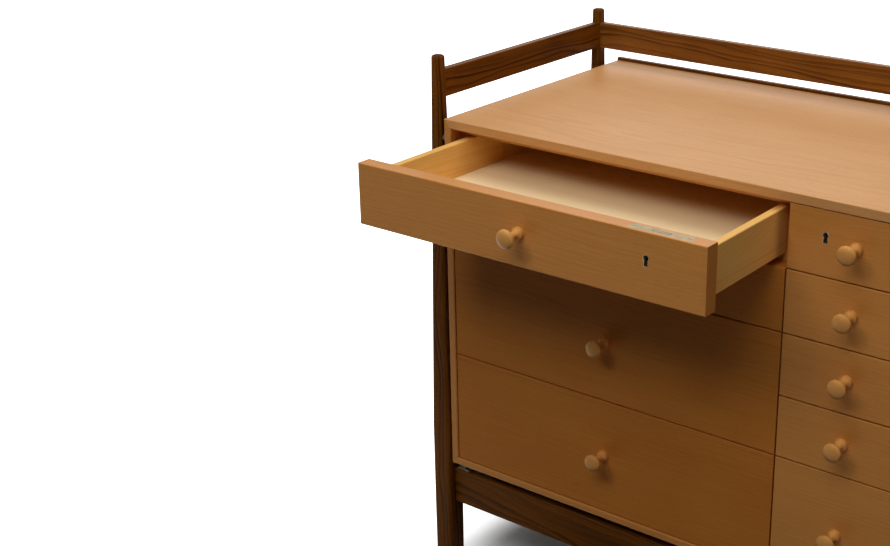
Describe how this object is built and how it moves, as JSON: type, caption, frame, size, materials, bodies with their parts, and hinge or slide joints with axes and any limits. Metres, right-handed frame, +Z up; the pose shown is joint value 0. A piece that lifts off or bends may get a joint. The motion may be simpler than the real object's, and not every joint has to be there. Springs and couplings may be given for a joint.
{
  "type": "cutlery chest",
  "caption": "Chest of drawers for cutlery: a light wooden case with turned knobs, hung in a dark frame of tapering posts and rails, with locks in the top drawers.",
  "frame": {"origin": "on the floor, at the middle of the box round the whole chest with its top left drawer drawn out", "axes": "+X to the chest's right seen from in front, +Y from its front to its back, +Z up"},
  "size_m": [0.843, 0.699, 0.846],
  "materials": {
    "case_wood": "satin",
    "frame_wood": "satin",
    "drawer_wood": "satin",
    "knob_wood": "satin",
    "lock_metal": "satin",
    "screw_metal": "satin",
    "spacer_metal": "satin"
  },
  "bodies": {
    "chest": {"case_top": "case_wood", "case_bottom": "case_wood", "case_side_left": "case_wood", "case_side_right": "case_wood", "case_partition": "case_wood", "case_back": "case_wood", "dividers_left": "case_wood", "dividers_right": "case_wood", "top_lip": "frame_wood", "post_front_left": "frame_wood", "post_front_right": "frame_wood", "post_back_left": "frame_wood", "post_back_right": "frame_wood", "gallery_rail_left": "frame_wood", "gallery_rail_right": "frame_wood", "gallery_rail_back": "frame_wood", "base_rail_front": "frame_wood", "base_rail_back": "frame_wood", "base_rail_left": "frame_wood", "base_rail_right": "frame_wood", "frame_spacers": "spacer_metal", "frame_screws": "screw_metal"},
    "lock_bolt_left": {"drawer_left_1_lock_bolt": "lock_metal"},
    "drawer_left_1": {"drawer_left_1_front": "case_wood", "drawer_left_1_side_left": "drawer_wood", "drawer_left_1_side_right": "drawer_wood", "drawer_left_1_back": "drawer_wood", "drawer_left_1_floor": "drawer_wood", "drawer_left_1_knob": "knob_wood", "drawer_left_1_lock_case": "lock_metal", "drawer_left_1_lock_keyhole_liner": "lock_metal", "drawer_left_1_lock_screws": "screw_metal"},
    "drawer_left_2": {"drawer_left_2_front": "case_wood", "drawer_left_2_box": "drawer_wood", "drawer_left_2_knob": "knob_wood"},
    "drawer_left_3": {"drawer_left_3_front": "case_wood", "drawer_left_3_box": "drawer_wood", "drawer_left_3_knob": "knob_wood"},
    "drawer_left_4": {"drawer_left_4_front": "case_wood", "drawer_left_4_box": "drawer_wood", "drawer_left_4_knob": "knob_wood"},
    "lock_bolt_right": {"drawer_right_1_lock_bolt": "lock_metal"},
    "drawer_right_1": {"drawer_right_1_front": "case_wood", "drawer_right_1_box": "drawer_wood", "drawer_right_1_knob": "knob_wood", "drawer_right_1_lock_case": "lock_metal", "drawer_right_1_lock_keyhole_liner": "lock_metal", "drawer_right_1_lock_screws": "screw_metal"},
    "drawer_right_2": {"drawer_right_2_front": "case_wood", "drawer_right_2_box": "drawer_wood", "drawer_right_2_knob": "knob_wood"},
    "drawer_right_3": {"drawer_right_3_front": "case_wood", "drawer_right_3_box": "drawer_wood", "drawer_right_3_knob": "knob_wood"},
    "drawer_right_4": {"drawer_right_4_front": "case_wood", "drawer_right_4_box": "drawer_wood", "drawer_right_4_knob": "knob_wood"},
    "drawer_right_5": {"drawer_right_5_front": "case_wood", "drawer_right_5_box": "drawer_wood", "drawer_right_5_knob": "knob_wood"}
  },
  "joints": [
    {"name": "drawer_left_1_slide", "type": "slide", "parent": "chest", "child": "drawer_left_1", "axis": [0, -1, 0], "range_m": [-0.2, 0.12]},
    {"name": "lock_bolt_left_rise", "type": "slide", "parent": "drawer_left_1", "child": "lock_bolt_left", "axis": [0, 0, 1], "range_m": [0, 0.007]},
    {"name": "drawer_left_2_slide", "type": "slide", "parent": "chest", "child": "drawer_left_2", "axis": [0, -1, 0], "range_m": [0, 0.32]},
    {"name": "drawer_left_3_slide", "type": "slide", "parent": "chest", "child": "drawer_left_3", "axis": [0, -1, 0], "range_m": [0, 0.32]},
    {"name": "drawer_left_4_slide", "type": "slide", "parent": "chest", "child": "drawer_left_4", "axis": [0, -1, 0], "range_m": [0, 0.32]},
    {"name": "drawer_right_1_slide", "type": "slide", "parent": "chest", "child": "drawer_right_1", "axis": [0, -1, 0], "range_m": [0, 0.32]},
    {"name": "lock_bolt_right_rise", "type": "slide", "parent": "drawer_right_1", "child": "lock_bolt_right", "axis": [0, 0, 1], "range_m": [0, 0.007]},
    {"name": "drawer_right_2_slide", "type": "slide", "parent": "chest", "child": "drawer_right_2", "axis": [0, -1, 0], "range_m": [0, 0.32]},
    {"name": "drawer_right_3_slide", "type": "slide", "parent": "chest", "child": "drawer_right_3", "axis": [0, -1, 0], "range_m": [0, 0.32]},
    {"name": "drawer_right_4_slide", "type": "slide", "parent": "chest", "child": "drawer_right_4", "axis": [0, -1, 0], "range_m": [0, 0.32]},
    {"name": "drawer_right_5_slide", "type": "slide", "parent": "chest", "child": "drawer_right_5", "axis": [0, -1, 0], "range_m": [0, 0.32]}
  ]
}
